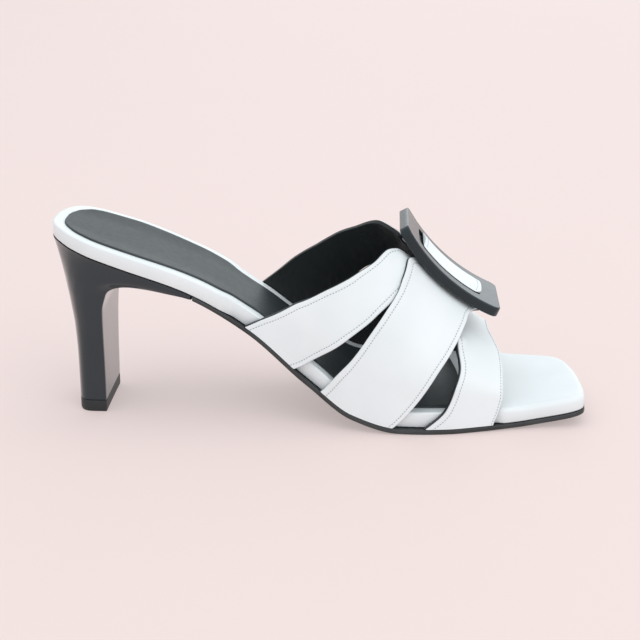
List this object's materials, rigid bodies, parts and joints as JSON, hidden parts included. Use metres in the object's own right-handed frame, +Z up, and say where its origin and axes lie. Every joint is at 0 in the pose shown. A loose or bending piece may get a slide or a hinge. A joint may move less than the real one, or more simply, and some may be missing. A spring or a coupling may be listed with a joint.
{
  "type": "mule shoe",
  "caption": "High-heeled leather mule sandal with crossed straps, an open toe and a curved rectangular buckle on the instep.",
  "frame": {"origin": "bottom centre of the shoe's box, on the floor it stands on", "axes": "+X from the heel to the toe, +Z up from the floor, +Y to the lateral side, the little toe's"},
  "size_m": [0.23, 0.0828, 0.0848],
  "materials": {
    "white_leather": "smooth, satin",
    "black_leather": "smooth, soft sheen",
    "black_lacquer": "glossy lacquer",
    "black_rubber": "matte",
    "black_sole_leather": "polished edge, matte underside"
  },
  "bodies": {
    "root": {"outsole": "black_sole_leather", "footbed": "white_leather", "sock": "black_leather", "upper": "white_leather", "heel": "black_lacquer", "top_lift": "black_rubber", "buckle": "black_lacquer", "buckle_tab": "white_leather"}
  },
  "joints": []
}
